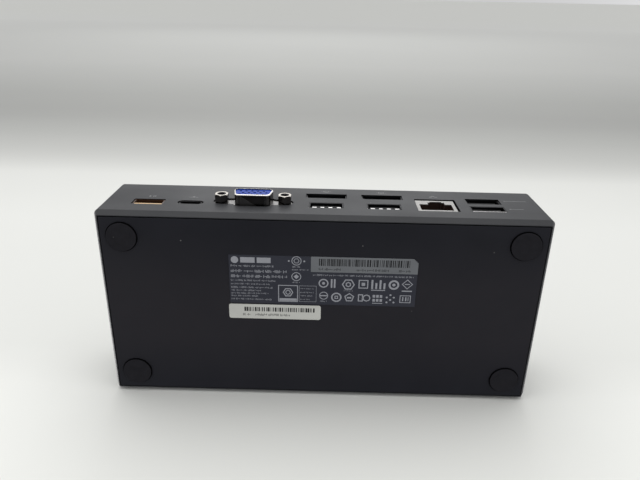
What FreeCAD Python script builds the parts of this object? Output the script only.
# Laptop docking station: a low rectangular box that lies flat on a desk on four feet.
# Frame: millimetres, +Z up, origin at the centre of the bounding box's bottom face.
# -Y is the front (power button and everyday ports), +Y is the rear port panel.
import FreeCAD, Part
import math, os

os.makedirs("parts", exist_ok=True)
V = FreeCAD.Vector

# ---------------------------------------------------------------- driving dimensions
CASE_W = 174.7          # case width along X
CASE_D = 81.4           # case depth along Y, without the video connector
CASE_H = 34.2           # case height, underside panel to top
FOOT_DROP = 0.7         # how far the feet stand below the underside panel
VGA_OUT = 4.2           # how far the video connector's shell stands out of the rear face
WALL = 2.3              # case wall
BEVEL_IN, BEVEL_UP = 1.5, 2.5   # bevel round the lower rim: inset and height
CORNER_R = 2.0          # vertical corner radius
TOP_R = 0.7             # radius round the top face
RIM_LAND = 0.25         # flat land of the lower rim beside the seam
SEAM = 0.35             # seam gap round the bottom cover
PLATE_T = 2.0           # bottom cover thickness
BOARD_T = 1.6
BOARD_Z = 7.7           # underside of the main board
FOOT_R, FOOT_GAP = 5.88, 0.22
FOOT_X = 77.1
FOOT_Y_FRONT, FOOT_Y_REAR = -32.76, 28.54
FOOT_SEAT = 1.5         # depth of the foot recess
SCREW_X = 79.2
SCREW_Y_FRONT, SCREW_Y_REAR = -30.7, 26.5
BOSS_R = 2.6
JACK_PITCH = 24.99      # spacing of the two jack nuts of the video connector
BUTTON_R = 3.9
BUTTON_TRAVEL = 0.5

Z0 = FOOT_DROP                      # underside panel
Z1 = Z0 + CASE_H                    # top
YF = -(CASE_D + VGA_OUT) / 2.0      # front face
YR = YF + CASE_D                    # rear face
XH = CASE_W / 2.0
YFI, YRI = YF + WALL, YR - WALL     # inner wall faces
ZTI = Z1 - WALL                     # inner top face
BT = BOARD_Z + BOARD_T              # board's top face

# rear ports: centre x, width, low z, high z of each opening in the case
DC = dict(x=69.3, w=12.4, z0=10.3, z1=16.1)
UC = dict(x=52.75, w=10.2, z0=11.45, z1=15.35)
VGA = dict(x=28.2, z=15.7)
AV1, AV2 = -0.78, -23.58
AVU = dict(w=13.5, z0=10.75, z1=16.5)
AVD = dict(w=16.65, z0=22.1, z1=27.3)
LAN = dict(x0=-53.0, x1=-36.6, z0=9.9, z1=23.5)
U3 = dict(x=-64.45, w=13.7)
U3L = (10.6, 16.35)
U3U = (19.2, 25.3)

# front ports (centre x, centre z)
FBTN = (-71.0, 15.0)
FLED = (-61.0, 13.0)
FUC = (26.0, 12.6)
FUA = (46.0, 13.2)
FAU = (68.0, 12.5)
LOCK = dict(y=-6.0, z=17.0, w=7.0, h=3.0)


# ---------------------------------------------------------------- helpers
def box(x0, x1, y0, y1, z0, z1):
    return Part.makeBox(x1 - x0, y1 - y0, z1 - z0, V(x0, y0, z0))


def cyl(r, h, p, d=(0, 0, 1)):
    return Part.makeCylinder(r, h, V(*p), V(*d))


def along(shape, axis, tol=1e-6):
    """Straight edges parallel to an axis (0 x, 1 y, 2 z)."""
    out = []
    for e in shape.Edges:
        if len(e.Vertexes) != 2 or not isinstance(e.Curve, (Part.Line, Part.LineSegment)):
            continue
        a, b = e.Vertexes[0].Point, e.Vertexes[1].Point
        d = [abs(a.x - b.x), abs(a.y - b.y), abs(a.z - b.z)]
        if d[axis] > tol and sum(d) - d[axis] < tol:
            out.append(e)
    return out


def rbox(x0, x1, y0, y1, z0, z1, r, axis=2):
    s = box(x0, x1, y0, y1, z0, z1)
    return s.makeFillet(r, along(s, axis))


def at_z(shape, z, tol=1e-4):
    return [e for e in shape.Edges if all(abs(v.Point.z - z) < tol for v in e.Vertexes) and abs(e.BoundBox.ZMin - z) < 1e-3 and abs(e.BoundBox.ZMax - z) < 1e-3]


def prism_y(pts, y0, y1):
    """Polygon of (x, z) points carried from y0 to y1."""
    w = Part.makePolygon([V(x, y0, z) for x, z in pts] + [V(pts[0][0], y0, pts[0][1])])
    return Part.Face(w).extrude(V(0, y1 - y0, 0))


def prism_x(pts, x0, x1):
    w = Part.makePolygon([V(x0, y, z) for y, z in pts] + [V(x0, pts[0][0], pts[0][1])])
    return Part.Face(w).extrude(V(x1 - x0, 0, 0))


def prism_z(pts, z0, z1):
    w = Part.makePolygon([V(x, y, z0) for x, y in pts] + [V(pts[0][0], pts[0][1], z0)])
    return Part.Face(w).extrude(V(0, 0, z1 - z0))


def slot_y(cx, cz, w, h, y0, y1):
    """Round-ended slot, long way along x, carried from y0 to y1."""
    r = h / 2.0
    s = box(cx - w / 2 + r, cx + w / 2 - r, y0, y1, cz - r, cz + r)
    for sx in (-1, 1):
        s = s.fuse(cyl(r, y1 - y0, (cx + sx * (w / 2 - r), y0, cz), (0, 1, 0)))
    return s.removeSplitter()


def dshape(cx, cz, w, h, r, y0, y1):
    """The D of a video connector: wide side up, sides 10 degrees in towards the bottom."""
    t = h * math.tan(math.radians(10))
    s = prism_y([(cx - w / 2, cz + h / 2), (cx + w / 2, cz + h / 2), (cx + w / 2 - t, cz - h / 2), (cx - w / 2 + t, cz - h / 2)], y0, y1)
    return s.makeFillet(r, along(s, 1))


def group(items):
    return Part.makeCompound(items)


def save(name, shape):
    assert len(name) < 60
    n = len(shape.Solids)
    assert n >= 1 and all(s.isValid() for s in shape.Solids), name
    if n == 1:
        shape = shape.Solids[0]
    shape.exportStep("parts/%s.step" % name)
    b = shape.BoundBox
    print("%-26s solids %2d vol %9.2f  x %.2f..%.2f y %.2f..%.2f z %.2f..%.2f" % (name, n, shape.Volume, b.XMin, b.XMax, b.YMin, b.YMax, b.ZMin, b.ZMax))


# ---------------------------------------------------------------- upper case shell
outer = rbox(-XH, XH, YF, YR, Z0, Z1, CORNER_R)
outer = outer.makeFillet(TOP_R, at_z(outer, Z1))
# bevel round the lower rim: cut with the space outside a tapered plug
lo = [(-XH + BEVEL_IN, YF + BEVEL_IN), (XH - BEVEL_IN, YR - BEVEL_IN)]
outer = outer.makeChamfer(BEVEL_IN, BEVEL_UP, at_z(outer, Z0))
if abs(min(v.Point.x for v in outer.Vertexes if abs(v.Point.z - Z0) < 1e-4) - (-XH + BEVEL_IN)) > 0.01:
    outer = rbox(-XH, XH, YF, YR, Z0, Z1, CORNER_R)
    outer = outer.makeFillet(TOP_R, at_z(outer, Z1))
    outer = outer.makeChamfer(BEVEL_UP, BEVEL_IN, at_z(outer, Z0))

cav = rbox(-XH + WALL, XH - WALL, YFI, YRI, Z0 - 1, ZTI, max(CORNER_R - WALL + 0.2, 0.5))
ri = BEVEL_IN + RIM_LAND
pocket = rbox(-XH + ri, XH - ri, YF + ri, YR - ri, Z0 - 1, Z0 + PLATE_T, max(CORNER_R - ri, 0.8))
case = outer.cut(cav).cut(pocket)

# four screw bosses down from the roof
SCREWS = [(sx * SCREW_X, y) for sx in (-1, 1) for y in (SCREW_Y_FRONT, SCREW_Y_REAR)]
BOSS_Z = Z0 + 4.0
for x, y in SCREWS:
    b = cyl(BOSS_R, ZTI - BOSS_Z + 0.5, (x, y, BOSS_Z))
    case = case.fuse(b)
    sx = 1 if x > 0 else -1
    rib = box(min(x, sx * (XH - WALL + 0.3)), max(x, sx * (XH - WALL + 0.3)), y - 0.6, y + 0.6, BOSS_Z + 4, ZTI + 0.5)
    case = case.fuse(rib)
for x, y in SCREWS:
    case = case.cut(cyl(1.30, 12.0, (x, y, BOSS_Z - 1)))

# stiffening ribs under the roof
for y in (-14.0, 4.0):
    case = case.fuse(box(-XH + WALL - 0.3, XH - WALL + 0.3, y - 0.6, y + 0.6, ZTI - 1.8, ZTI + 0.3))

# rear cut-outs
cuts = []
y0, y1 = YRI - 1, YR + 1
cuts.append(rbox(DC["x"] - DC["w"] / 2, DC["x"] + DC["w"] / 2, y0, y1, DC["z0"], DC["z1"], 0.5, 1))
cuts.append(slot_y(UC["x"], (UC["z0"] + UC["z1"]) / 2, UC["w"], UC["z1"] - UC["z0"], y0, y1))
cuts.append(dshape(VGA["x"], VGA["z"] - 0.25, 17.9, 10.1, 2.6, y0, y1))
cuts.append(slot_y(VGA["x"], VGA["z"], JACK_PITCH + 6.6, 6.6, y0, y1))
for cx in (AV1, AV2):
    cuts.append(rbox(cx - AVU["w"] / 2, cx + AVU["w"] / 2, y0, y1, AVU["z0"], AVU["z1"], 0.25, 1))
    w = AVD["w"]
    c = prism_y([(cx - w / 2, AVD["z0"]), (cx + w / 2 - 1.1, AVD["z0"]), (cx + w / 2, AVD["z0"] + 1.1), (cx + w / 2, AVD["z1"]), (cx - w / 2, AVD["z1"])], y0, y1)
    cuts.append(c)
cuts.append(box(LAN["x0"], LAN["x1"], y0, y1, LAN["z0"], LAN["z1"]))
for za, zb in (U3L, U3U):
    cuts.append(rbox(U3["x"] - U3["w"] / 2, U3["x"] + U3["w"] / 2, y0, y1, za, zb, 0.25, 1))
# front cut-outs
y0, y1 = YF - 1, YFI + 1
cuts.append(cyl(BUTTON_R + 0.2, WALL + 2, (FBTN[0], y0, FBTN[1]), (0, 1, 0)))
cuts.append(cyl(1.05, WALL + 2, (FLED[0], y0, FLED[1]), (0, 1, 0)))
cuts.append(slot_y(FUC[0], FUC[1], 9.6, 3.7, y0, y1))
cuts.append(rbox(FUA[0] - 6.7, FUA[0] + 6.7, y0, y1, FUA[1] - 2.75, FUA[1] + 2.75, 0.25, 1))
cuts.append(cyl(3.2, WALL + 2, (FAU[0], y0, FAU[1]), (0, 1, 0)))
# lock slot in the side wall at -X
lk = rbox(-XH - 1, -XH + WALL + 1, LOCK["y"] - LOCK["w"] / 2, LOCK["y"] + LOCK["w"] / 2, LOCK["z"] - LOCK["h"] / 2, LOCK["z"] + LOCK["h"] / 2, 0.6, 0)
cuts.append(lk)
for c in cuts:
    case = case.cut(c)
case = case.removeSplitter()
save("top_case", case)

# ---------------------------------------------------------------- bottom cover
ci = ri + SEAM
cover = rbox(-XH + ci, XH - ci, YF + ci, YR - ci, Z0, Z0 + PLATE_T, max(CORNER_R - ri - 0.3, 0.5))
cover = cover.makeFillet(0.18, at_z(cover, Z0))
FEET = [(sx * FOOT_X, y) for sx in (-1, 1) for y in (FOOT_Y_FRONT, FOOT_Y_REAR)]
for (fx, fy), (sx_, sy_) in zip(FEET, SCREWS):
    pad = rbox(fx - 7.0 if fx > 0 else -XH + ci + 0.6, XH - ci - 0.6 if fx > 0 else fx + 7.0, fy - 6.9, fy + 6.9, Z0 + PLATE_T - 0.5, Z0 + 4.0, 1.5)
    cover = cover.fuse(pad)
for fx, fy in FEET:
    cover = cover.cut(cyl(FOOT_R + FOOT_GAP, FOOT_SEAT + 1, (fx, fy, Z0 - 1)))
for x, y in SCREWS:
    cover = cover.cut(cyl(2.75, 1.5, (x, y, Z0 + FOOT_SEAT - 0.01)))
    cover = cover.cut(cyl(1.5, 6, (x, y, Z0)))
POSTS = [(-68.0, -24.0), (68.0, -24.0), (-68.0, 12.0), (68.0, 12.0)]
for x, y in POSTS:
    cover = cover.fuse(cyl(3.0, BOARD_Z - Z0 - PLATE_T + 0.5, (x, y, Z0 + PLATE_T - 0.5)))
for x, y in POSTS:
    cover = cover.cut(cyl(1.25, 4.2, (x, y, BOARD_Z - 4.2)))
# stiffening ribs between the posts
for y in (-24.0, 12.0):
    cover = cover.fuse(box(-65.5, 65.5, y - 0.6, y + 0.6, Z0 + PLATE_T - 0.3, Z0 + PLATE_T + 1.6))
cover = cover.removeSplitter()
save("bottom_cover", cover)

# ---------------------------------------------------------------- feet, screws, labels
names = ["foot_front_left", "foot_rear_left", "foot_front_right", "foot_rear_right"]
for n, (fx, fy) in zip(names, FEET):
    f = cyl(FOOT_R, FOOT_DROP + FOOT_SEAT, (fx, fy, 0))
    f = f.makeFillet(0.35, at_z(f, 0))
    save(n, f)

scr = []
for x, y in SCREWS:
    h = Z0 + FOOT_SEAT
    head = cyl(2.5, 1.3, (x, y, h + 0.12))
    sh = cyl(1.25, 9.0, (x, y, h + 0.12))
    s = head.fuse(sh)
    s = s.cut(box(x - 1.3, x + 1.3, y - 0.25, y + 0.25, h - 1, h + 0.75)).cut(box(x - 0.25, x + 0.25, y - 1.3, y + 1.3, h - 1, h + 0.75))
    scr.append(s.removeSplitter())
save("case_screws", group(scr))

LBL_T = 0.12
lab = prism_z([(-36.9, 1.2), (36.5, 1.2), (36.5, 22.2), (-35.1, 22.2), (-36.9, 20.4)], Z0 - LBL_T, Z0)
save("rating_label", lab)
ser = prism_z([(-36.9, 15.65), (4.6, 15.65), (4.6, 22.2), (-35.1, 22.2), (-36.9, 20.4)], Z0 - LBL_T - 0.08, Z0 - LBL_T)
save("serial_sticker", ser)
adr = rbox(0.4, 37.15, -5.9, 0.6, Z0 - 0.1, Z0, 0.9)
save("address_sticker", adr)

# ---------------------------------------------------------------- main board
board = rbox(-76.0, 76.0, -38.6, 35.6, BOARD_Z, BT, 1.0)
for x, y in POSTS:
    board = board.cut(cyl(1.45, 4, (x, y, BOARD_Z - 1)))
for lx_, ya_, yb_ in ((UC["x"], 28.0, YR - 0.25), (FUC[0], -32.5, YF + 1.0)):
    for sx in (-1, 1):
        for yy in (0.25, 0.8):
            yc = ya_ + (yb_ - ya_) * yy * 0.75
            board = board.cut(box(lx_ + sx * 4.2 - 0.25, lx_ + sx * 4.2 + 0.25, yc - 0.65, yc + 0.65, BOARD_Z - 1, BT + 1))
save("main_board", board)
bs = []
for x, y in POSTS:
    s = cyl(2.3, 1.5, (x, y, BT)).fuse(cyl(1.2, 5.0, (x, y, BT - 5.0)))
    s = s.cut(box(x - 1.3, x + 1.3, y - 0.25, y + 0.25, BT + 0.8, BT + 2)).cut(box(x - 0.25, x + 0.25, y - 1.3, y + 1.3, BT + 0.8, BT + 2))
    bs.append(s.removeSplitter())
save("board_screws", group(bs))

# ---------------------------------------------------------------- DC power inlet
cx = DC["x"]
YMF = YR - 0.1                     # front edge of the inlet's liner
hous = box(cx - 7.0, cx + 7.0, 22.5, YRI - 0.1, BT, 18.6)
hous = hous.cut(box(cx - 6.0, cx + 6.0, 24.5, YRI + 1, DC["z0"] + 0.05, DC["z1"] - 0.05))
pin = box(cx - 0.45, cx + 0.45, 23.0, 34.8, 13.05, 13.95)
pin = pin.makeFillet(0.2, along(pin, 1))
save("dc_inlet_housing", hous.cut(pin))
lin = box(cx - 5.95, cx + 5.95, 24.5, YMF, DC["z0"] + 0.1, DC["z1"] - 0.1)
lin = lin.cut(rbox(cx - 5.5, cx + 5.5, 26.0, YMF + 1, 11.45, 15.75, 0.4, 1))
# only the lower edge comes right up to the panel; the other three stop short of it
lin = lin.cut(box(cx - 7, cx + 7, YMF - 0.2, YMF + 1, 11.45, 17.0)).cut(box(cx - 7, cx - 5.75, YMF - 0.2, YMF + 1, 9, 12)).cut(box(cx + 5.0, cx + 7, YMF - 0.2, YMF + 1, 9, 12))
save("dc_inlet_liner", lin.cut(pin))
save("dc_inlet_pin", pin)
spr = []
for sx in (-1, 1):
    spr.append(box(cx + sx * 5.35 - 0.12, cx + sx * 5.35 + 0.12, 26.2, 35.2, 12.6, 14.4))
save("dc_inlet_contacts", group(spr))


# ---------------------------------------------------------------- USB-C receptacles
def usb_c(cx, cz, ysgn, y_mouth, y_back):
    """Drawn seamless tube, round-ended, with a moulded tongue. ysgn +1 opens to +Y."""
    lo, hi = min(y_mouth, y_back), max(y_mouth, y_back)
    sh = slot_y(cx, cz, 8.94, 3.16, lo, hi)
    sh = sh.cut(slot_y(cx, cz, 8.34, 2.56, lo - 1 if ysgn < 0 else lo + 0.6, hi + 1 if ysgn > 0 else hi - 0.6))
    legs = []
    for sx in (-1, 1):
        for yy in (0.25, 0.8):
            yc = y_back + (y_mouth - y_back) * yy * 0.75
            sh = sh.fuse(box(cx + sx * 4.2 - 0.15, cx + sx * 4.2 + 0.15, yc - 0.5, yc + 0.5, BT - 1.0, cz - 0.3))
    sh = sh.cut(slot_y(cx, cz, 8.34, 2.56, lo - 1 if ysgn < 0 else lo + 0.6, hi + 1 if ysgn > 0 else hi - 0.6))
    ya, yb = y_back + ysgn * 0.65, y_mouth - ysgn * 0.75
    t = box(cx - 3.3, cx + 3.3, min(ya, yb), max(ya, yb), cz - 0.35, cz + 0.35)
    t = t.makeFillet(0.12, along(t, 1))
    base = slot_y(cx, cz, 8.2, 2.42, min(ya, ya + ysgn * 2.0), max(ya, ya + ysgn * 2.0))
    t = t.fuse(base).removeSplitter()
    return sh.removeSplitter(), t


sh, tg = usb_c(UC["x"], (UC["z0"] + UC["z1"]) / 2, 1, YR - 0.25, 28.0)
save("host_usb_c_shell", sh)
save("host_usb_c_tongue", tg)

# ---------------------------------------------------------------- VGA connector
vx, vz = VGA["x"], VGA["z"]
FLY = YRI - 0.05                     # front of the flange
fl = rbox(vx - 15.4, vx + 15.4, FLY - 0.8, FLY, vz - 6.2, vz + 6.2, 1.2, 1)
LAND_Y = YR - 0.5                    # front of the flange's drawn land, inside the slot of the rear wall
land = slot_y(vx, vz, JACK_PITCH + 6.0, 6.0, FLY - 0.4, LAND_Y)
tube = dshape(vx, vz, 16.33, 8.36, 2.3, FLY - 0.4, YR + VGA_OUT)
front_edge = [e for e in tube.Edges if abs(e.BoundBox.YMin - (YR + VGA_OUT)) < 1e-3]
tube = tube.makeFillet(0.42, front_edge)
shell = fl.fuse(land)
shell = shell.cut(slot_y(vx, vz, JACK_PITCH + 4.8, 4.8, FLY - 2, LAND_Y - 0.5))
shell = shell.fuse(tube)
shell = shell.cut(dshape(vx, vz, 15.29, 7.32, 1.78, FLY - 2, YR + VGA_OUT + 1))
for sx in (-1, 1):
    shell = shell.cut(cyl(1.6, 4, (vx + sx * JACK_PITCH / 2, LAND_Y - 3, vz), (0, 1, 0)))
shell = shell.removeSplitter()
assert len(shell.Solids) == 1
save("vga_shell", shell)
ins = dshape(vx, vz, 15.19, 7.22, 1.73, FLY - 1.0, YR + VGA_OUT - 0.4)
VP = []
for j, zz in enumerate((1.98, 0.0, -1.98)):
    off = (0.57, -0.57, 0.57)[j]
    for k in range(5):
        VP.append((vx + (k - 2) * 2.29 + off, vz + zz))
for px_, pz_ in VP:
    ins = ins.cut(cyl(0.52, 5.0, (px_, YR + VGA_OUT - 5.0, pz_), (0, 1, 0)))
save("vga_insulator", ins)
vh = box(vx - 15.4, vx + 15.4, 27.0, FLY - 0.9, BT, vz + 5.6)
vh = vh.cut(dshape(vx, vz, 15.29, 7.32, 1.78, FLY - 1.1, FLY))
for sx in (-1, 1):
    vh = vh.cut(cyl(1.75, 8, (vx + sx * JACK_PITCH / 2, FLY - 8, vz), (0, 1, 0)))
save("vga_rear_housing", vh)
vc = []
for px_, pz_ in VP:
    vc.append(cyl(0.40, 2.2, (px_, YR + VGA_OUT - 5.0, pz_), (0, 1, 0)))
save("vga_contacts", group(vc))
nuts = []
NUT_OUT = 3.2
for sx in (-1, 1):
    nx = vx + sx * JACK_PITCH / 2
    af = 2.5 / math.cos(math.radians(30))
    pts = [(nx + af * math.cos(math.radians(60 * i + 30)), vz + af * math.sin(math.radians(60 * i + 30))) for i in range(6)]
    n = prism_y(pts, LAND_Y, YR + NUT_OUT)
    cone = Part.makeCone(af + 1.8, af - 0.32, 2.12, V(nx, YR + NUT_OUT - 2.12, vz), V(0, 1, 0))
    n = n.common(cone.fuse(cyl(af + 1.8, 8, (nx, YR + NUT_OUT - 10.12, vz), (0, 1, 0))))
    n = n.fuse(cyl(1.45, LAND_Y - FLY + 7.0, (nx, FLY - 7.0, vz), (0, 1, 0)))
    n = n.cut(cyl(1.30, 4.8, (nx, YR + NUT_OUT - 4.8, vz), (0, 1, 0)))
    n = n.cut(Part.makeCone(1.30, 1.75, 0.45, V(nx, YR + NUT_OUT - 0.45, vz), V(0, 1, 0)))
    nuts.append(n.removeSplitter())
save("vga_jack_nuts", group(nuts))


# ---------------------------------------------------------------- stacked receptacles on the rear edge
def stack(cx, half, y_back, top, ports, ysgn=1, wall_in=None, mouth=None, gaps=()):
    """Sheet-metal can open below, with one mouth tube per port, and a moulded core with tongues.
    ports: (half width, z0, z1, tongue z0, z1, tongue half width, lower sheet, mouth position, height of the folded lower lip)
    gaps: spans along x cut out of the folded lip, which leave its bright folds."""
    wi = wall_in if wall_in is not None else YRI - 0.1
    mo0 = mouth if mouth is not None else YR - 0.1
    t = 0.35

    def yb(a, b):
        return (min(a, b), max(a, b))
    a, b = yb(y_back, wi)
    can = box(cx - half, cx + half, a, b, BT, top)
    a, b = yb(y_back + ysgn * t, wi - ysgn * t)
    can = can.cut(box(cx - half + t, cx + half - t, a, b, BT - 1, top - t))
    core = box(cx - half + t + 0.05, cx + half - t - 0.05, a + 0.05, b - 0.05, BT, top - t - 0.05)
    ports = [tuple(p) + (None, 0.0)[len(p) - 7:] for p in ports]
    for hw, z0, z1, tz0, tz1, thw, s0, mo, fold in ports:
        mo = mo0 if mo is None else mo
        a, b = yb(wi - ysgn * t, mo)
        can = can.fuse(box(cx - hw, cx + hw, a, b, z0 + fold, z1))
        if fold:
            a, b = yb(mo - ysgn * 0.4, mo)
            can = can.fuse(box(cx - hw, cx + hw, a, b, z0, z0 + fold + 0.1))
    for hw, z0, z1, tz0, tz1, thw, s0, mo, fold in ports:
        mo = mo0 if mo is None else mo
        zf = z0 + fold + s0
        a, b = yb(wi - ysgn * 2 * t, mo + ysgn)
        can = can.cut(box(cx - hw + t, cx + hw - t, a, b, zf, z1 - t))
        depth = 9.0
        a, b = yb(mo - ysgn * depth, mo + ysgn)
        core = core.cut(box(cx - hw + t, cx + hw - t, a, b, zf, z1 - t))
        a, b = yb(mo - ysgn * (depth + 0.5), mo - ysgn * 0.9)
        tongue = box(cx - thw, cx + thw, a, b, tz0, tz1)
        tongue = tongue.makeChamfer(0.25, [e for e in along(tongue, 0) if abs(e.Vertexes[0].Point.y - (mo - ysgn * 0.9)) < 1e-3])
        core = core.fuse(tongue)
        if fold:
            for g0, g1 in gaps:
                a, b = yb(mo - ysgn * 1.0, mo + ysgn)
                can = can.cut(box(g0, g1, a, b, z0 - 0.2, zf + 0.01))
    return can.removeSplitter(), core.removeSplitter()


def strips(cx, xs, w, y0, y1, z, t, side):
    """Flat contact strips lying on the tongue: side -1 below it, +1 above it."""
    out = []
    for x in xs:
        z0 = z - t if side < 0 else z
        out.append(box(cx + x - w / 2, cx + x + w / 2, y0, y1, z0, z0 + t))
    return out


USB2 = (-3.5, -1.0, 1.0, 3.5)
DPX = [(-5.0 + i * 1.0) for i in range(11)]
for name, cx in (("av_stack_a", AV1), ("av_stack_b", AV2)):
    # spaces between the four bright folds of the lower mouth
    f = [(-6.55, -5.7), (-4.1, -2.45), (-0.85, 0.8), (2.2, 3.75), (5.45, 6.55)]
    gaps = [(cx + a, cx + b) for a, b in f]
    ports = [(6.65, 10.8, 16.42, 14.05, 15.65, 5.5, 0.35, YR - 0.05, 0.45), (8.2, 22.2, 27.2, 24.55, 25.55, 6.6, 0.35, YR - 0.45)]
    can, core = stack(cx, 9.0, 20.0, 28.4, ports, gaps=gaps)
    # the display port's mouth has one cut corner, so its tube is trimmed to the case cut-out
    w = AVD["w"] - 0.2
    trim = prism_y([(cx + w / 2 - 1.1, AVD["z0"] - 0.5), (cx + w / 2 + 1, AVD["z0"] - 0.5), (cx + w / 2 + 1, AVD["z0"] + 1.2), (cx + w / 2, AVD["z0"] + 1.2), (cx + w / 2 - 1.2, AVD["z0"])], YRI - 0.1, YR + 1)
    can = can.cut(trim)
    save(name + "_shell", group(sorted(can.Solids, key=lambda s: -s.Volume)[:1]))
    save(name + "_core", core)
    cs = strips(cx, USB2, 1.0, YR - 8.5, YR - 1.6, 14.05, 0.16, -1) + strips(cx, DPX, 0.5, YR - 8.5, YR - 1.6, 24.55, 0.14, -1)
    save(name + "_contacts", group(cs))

ports = [(6.75, U3L[0] + 0.05, U3L[1] - 0.1, 14.0, 15.6, 5.5, 0.4, YR - 0.05), (6.75, U3U[0] + 0.1, U3U[1] - 0.1, 22.95, 24.55, 5.5, 0.4, YR - 0.45)]
can, core = stack(U3["x"], 7.4, 19.0, 27.0, ports)
save("usb_stack_shell", can)
save("usb_stack_core", core)
cs = []
for z in (14.0, 22.95):
    cs += strips(U3["x"], USB2, 1.0, YR - 8.5, YR - 1.6, z, 0.16, -1)
    cs += strips(U3["x"], (-4.6, -2.3, 0.0, 2.3, 4.6), 0.5, YR - 3.2, YR - 1.3, z, 0.12, -1)[:0]
save("usb_stack_contacts", group(cs))

# ---------------------------------------------------------------- network jack
LX0, LX1 = -52.2, -36.75
LY1 = YR - 0.25
shd = box(LX0, LX1, 17.0, LY1, BT, 22.65)
shd = shd.cut(box(LX0 + 0.4, LX1 - 0.4, 17.4, LY1 - 0.4, BT - 1, 22.25))
OX0, OX1, OZ0, OZ1 = -50.85, -38.1, 11.7, 18.3
NX0, NX1, NZ1 = -48.3, -41.6, 20.5
mouth = box(OX0, OX1, 20, LY1 + 1, OZ0, OZ1).fuse(box(NX0, NX1, 20, LY1 + 1, OZ1 - 0.5, NZ1))
step = box(NX0 + 1.0, NX1 - 1.0, 20, LY1 + 1, NZ1 - 0.5, NZ1 + 0.9)
mouth = mouth.fuse(step).removeSplitter()
shd = shd.cut(mouth.common(box(-60, -30, LY1 - 0.6, LY1 + 1, 0, 30)))
under = box(LX0 - 1, LX1 + 1, YRI - 0.1, LY1 + 1, BT - 1, LAN["z0"] + 0.08)
shd = shd.cut(under).removeSplitter()
save("lan_jack_shield", shd)
lh = box(LX0 + 0.45, LX1 - 0.45, 17.45, LY1 - 0.45, BT, 22.2)
cavity = mouth.common(box(-60, -30, 23.0, LY1 + 1, 0, 30))
lh = lh.cut(cavity).cut(under).removeSplitter()
save("lan_jack_core", lh)
lc = []
for i in range(8):
    x = (OX0 + OX1) / 2 + (i - 3.5) * 1.02
    pts = [(35.2, OZ0), (35.2, OZ0 + 0.3), (34.7, OZ0 + 0.35), (29.5, OZ0 + 1.9), (29.3, OZ0 + 1.6), (34.5, OZ0)]
    lc.append(prism_x(pts, x - 0.2, x + 0.2))
save("lan_jack_contacts", group(lc))

# ---------------------------------------------------------------- front ports
sh, tg = usb_c(FUC[0], FUC[1], -1, YF + 1.0, -32.5)
save("front_usb_c_shell", sh)
save("front_usb_c_tongue", tg)
can, core = stack(FUA[0], 7.3, -26.5, 18.0, [(6.55, FUA[1] - 2.6, FUA[1] + 2.6, FUA[1] + 0.25, FUA[1] + 1.9, 5.5, 0.35)], ysgn=-1, wall_in=YFI + 0.1, mouth=YF + 0.35)
save("front_usb_a_shell", can)
save("front_usb_a_core", core)
save("front_usb_a_contacts", group(strips(FUA[0], USB2, 1.0, YF + 1.6, YF + 8.5, FUA[1] + 0.25, 0.16, -1)))

ax, az = FAU
ah = box(ax - 3.3, ax + 3.3, YFI + 0.1, -27.0, BT, 15.9)
ah = ah.cut(cyl(1.8, 12.0, (ax, YFI, az), (0, 1, 0)))
save("audio_jack_housing", ah)
ar = cyl(3.0, WALL - 0.1, (ax, YF + 0.2, az), (0, 1, 0)).cut(cyl(1.8, 10, (ax, YF - 2, az), (0, 1, 0)))
save("audio_jack_bushing", ar)
ac = [box(ax + sx * 3.42 - 0.12, ax + sx * 3.42 + 0.12, y, y + 1.4, BT, 13.8) for sx in (-1, 1) for y in (-37.5, -33.5, -29.5)]
save("audio_jack_terminals", group(ac))

# ---------------------------------------------------------------- power button and its switch
bx, bz = FBTN
btn = cyl(BUTTON_R, 3.4, (bx, YF + 0.1, bz), (0, 1, 0))
btn = btn.makeFillet(0.3, [e for e in btn.Edges if abs(e.BoundBox.YMax - (YF + 0.1)) < 1e-3 and abs(e.BoundBox.YMin - (YF + 0.1)) < 1e-3])
btn = btn.fuse(cyl(BUTTON_R + 1.0, 1.0, (bx, YFI + 0.1, bz), (0, 1, 0)))
btn = btn.fuse(cyl(1.1, -36.05 - (YF + 3.0), (bx, YF + 3.0, bz), (0, 1, 0)))
ring = cyl(2.0, 0.25, (bx, YF, bz), (0, 1, 0)).cut(cyl(1.75, 2, (bx, YF - 1, bz), (0, 1, 0)))
btn = btn.cut(cyl(2.15, 0.3, (bx, YF, bz), (0, 1, 0)).cut(cyl(1.7, 2, (bx, YF - 1, bz), (0, 1, 0))))
save("power_button", btn.removeSplitter())
tb = box(bx - 3.1, bx + 3.1, -35.5, -32.0, BT, 18.2)
tb = tb.cut(cyl(1.6, 1.7, (bx, -35.6, bz), (0, 1, 0)))
save("tact_switch_body", tb)
tp = cyl(1.45, 1.35, (bx, -36.0, bz), (0, 1, 0))
save("tact_switch_plunger", tp)
lx, lz = FLED
lp = cyl(0.9, 5.4, (lx, YF + 0.1, lz), (0, 1, 0))
lp = lp.fuse(box(lx - 0.9, lx + 0.9, -38.9, -37.1, 10.7, lz + 0.4)).removeSplitter()
save("light_pipe", lp)
save("power_led", box(lx - 0.8, lx + 0.8, -38.6, -37.4, BT, 10.6))

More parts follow.
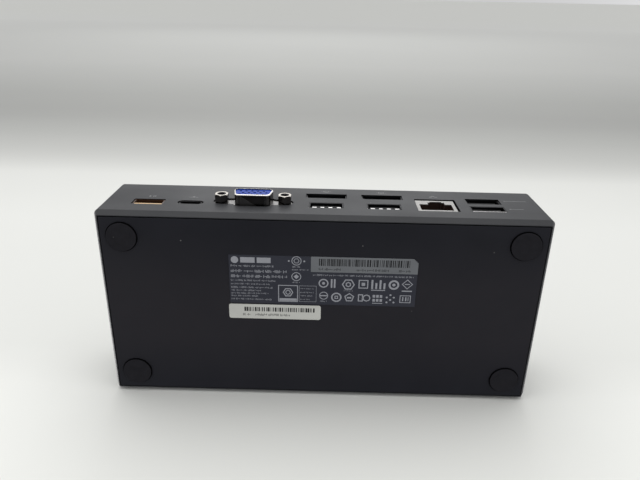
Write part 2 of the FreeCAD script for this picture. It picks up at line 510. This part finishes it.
# ---------------------------------------------------------------- parts on the board
chips = lambda lst, h: group([box(x - w / 2, x + w / 2, y - d / 2, y + d / 2, BT, BT + h) for x, y, w, d in lst])
save("usb_hub_chip", chips([(6.0, -6.0, 9.0, 9.0)], 1.0))
save("video_chips", chips([(-12.0, 0.0, 8.0, 8.0), (24.0, 0.0, 8.0, 8.0)], 1.0))
save("network_chip", chips([(-46.0, 2.0, 6.0, 6.0)], 0.9))
save("network_transformer", chips([(-46.0, -10.0, 15.0, 10.0)], 5.6))
ind = []
for x, y in ((50.0, 8.0), (50.0, -4.0), (60.0, -12.0)):
    s = rbox(x - 3.5, x + 3.5, y - 3.5, y + 3.5, BT, BT + 4.0, 0.8)
    ind.append(s)
save("power_inductors", group(ind))
cap = []
for x, y in ((62.0, 2.0), (62.0, 9.5), (-58.0, -30.0), (-50.0, -30.0), (-30.0, -30.0)):
    cap.append(cyl(3.15, 6.6, (x, y, BT)))
save("capacitors", group(cap))
save("crystals", chips([(-24.0, -14.0, 5.0, 3.2), (-56.0, 8.0, 5.0, 3.2), (16.0, -28.0, 5.0, 3.2)], 1.1))
save("thermal_pads", group([box(x - w / 2, x + w / 2, y - w / 2, y + w / 2, BT + 1.0, BT + 2.5) for x, y, w in ((6.0, -6.0, 8.0), (-12.0, 0.0, 7.0), (24.0, 0.0, 7.0))]))
hs = rbox(-19.0, 31.0, -14.0, 8.0, BT + 2.5, BT + 4.0, 1.0)
for x in (-17.5, 29.5):
    for y in (-12.5, 6.5):
        hs = hs.fuse(box(x - 1.0, x + 1.0, y - 1.0, y + 1.0, BT, BT + 3.0))
save("heat_spreader", hs.removeSplitter())
save("insulating_film", rbox(-62.0, 62.0, -22.5, 10.5, Z0 + PLATE_T, Z0 + PLATE_T + 0.2, 2.0))

# steel plate behind the lock slot, held against the wall
lp2 = box(-XH + WALL + 0.05, -XH + WALL + 1.25, LOCK["y"] - 8.0, LOCK["y"] + 8.0, LOCK["z"] - 5.5, LOCK["z"] + 5.5)
lp2 = lp2.cut(rbox(-XH + WALL - 1, -XH + WALL + 3, LOCK["y"] - LOCK["w"] / 2, LOCK["y"] + LOCK["w"] / 2, LOCK["z"] - LOCK["h"] / 2, LOCK["z"] + LOCK["h"] / 2, 0.6, 0))
save("lock_plate", lp2)
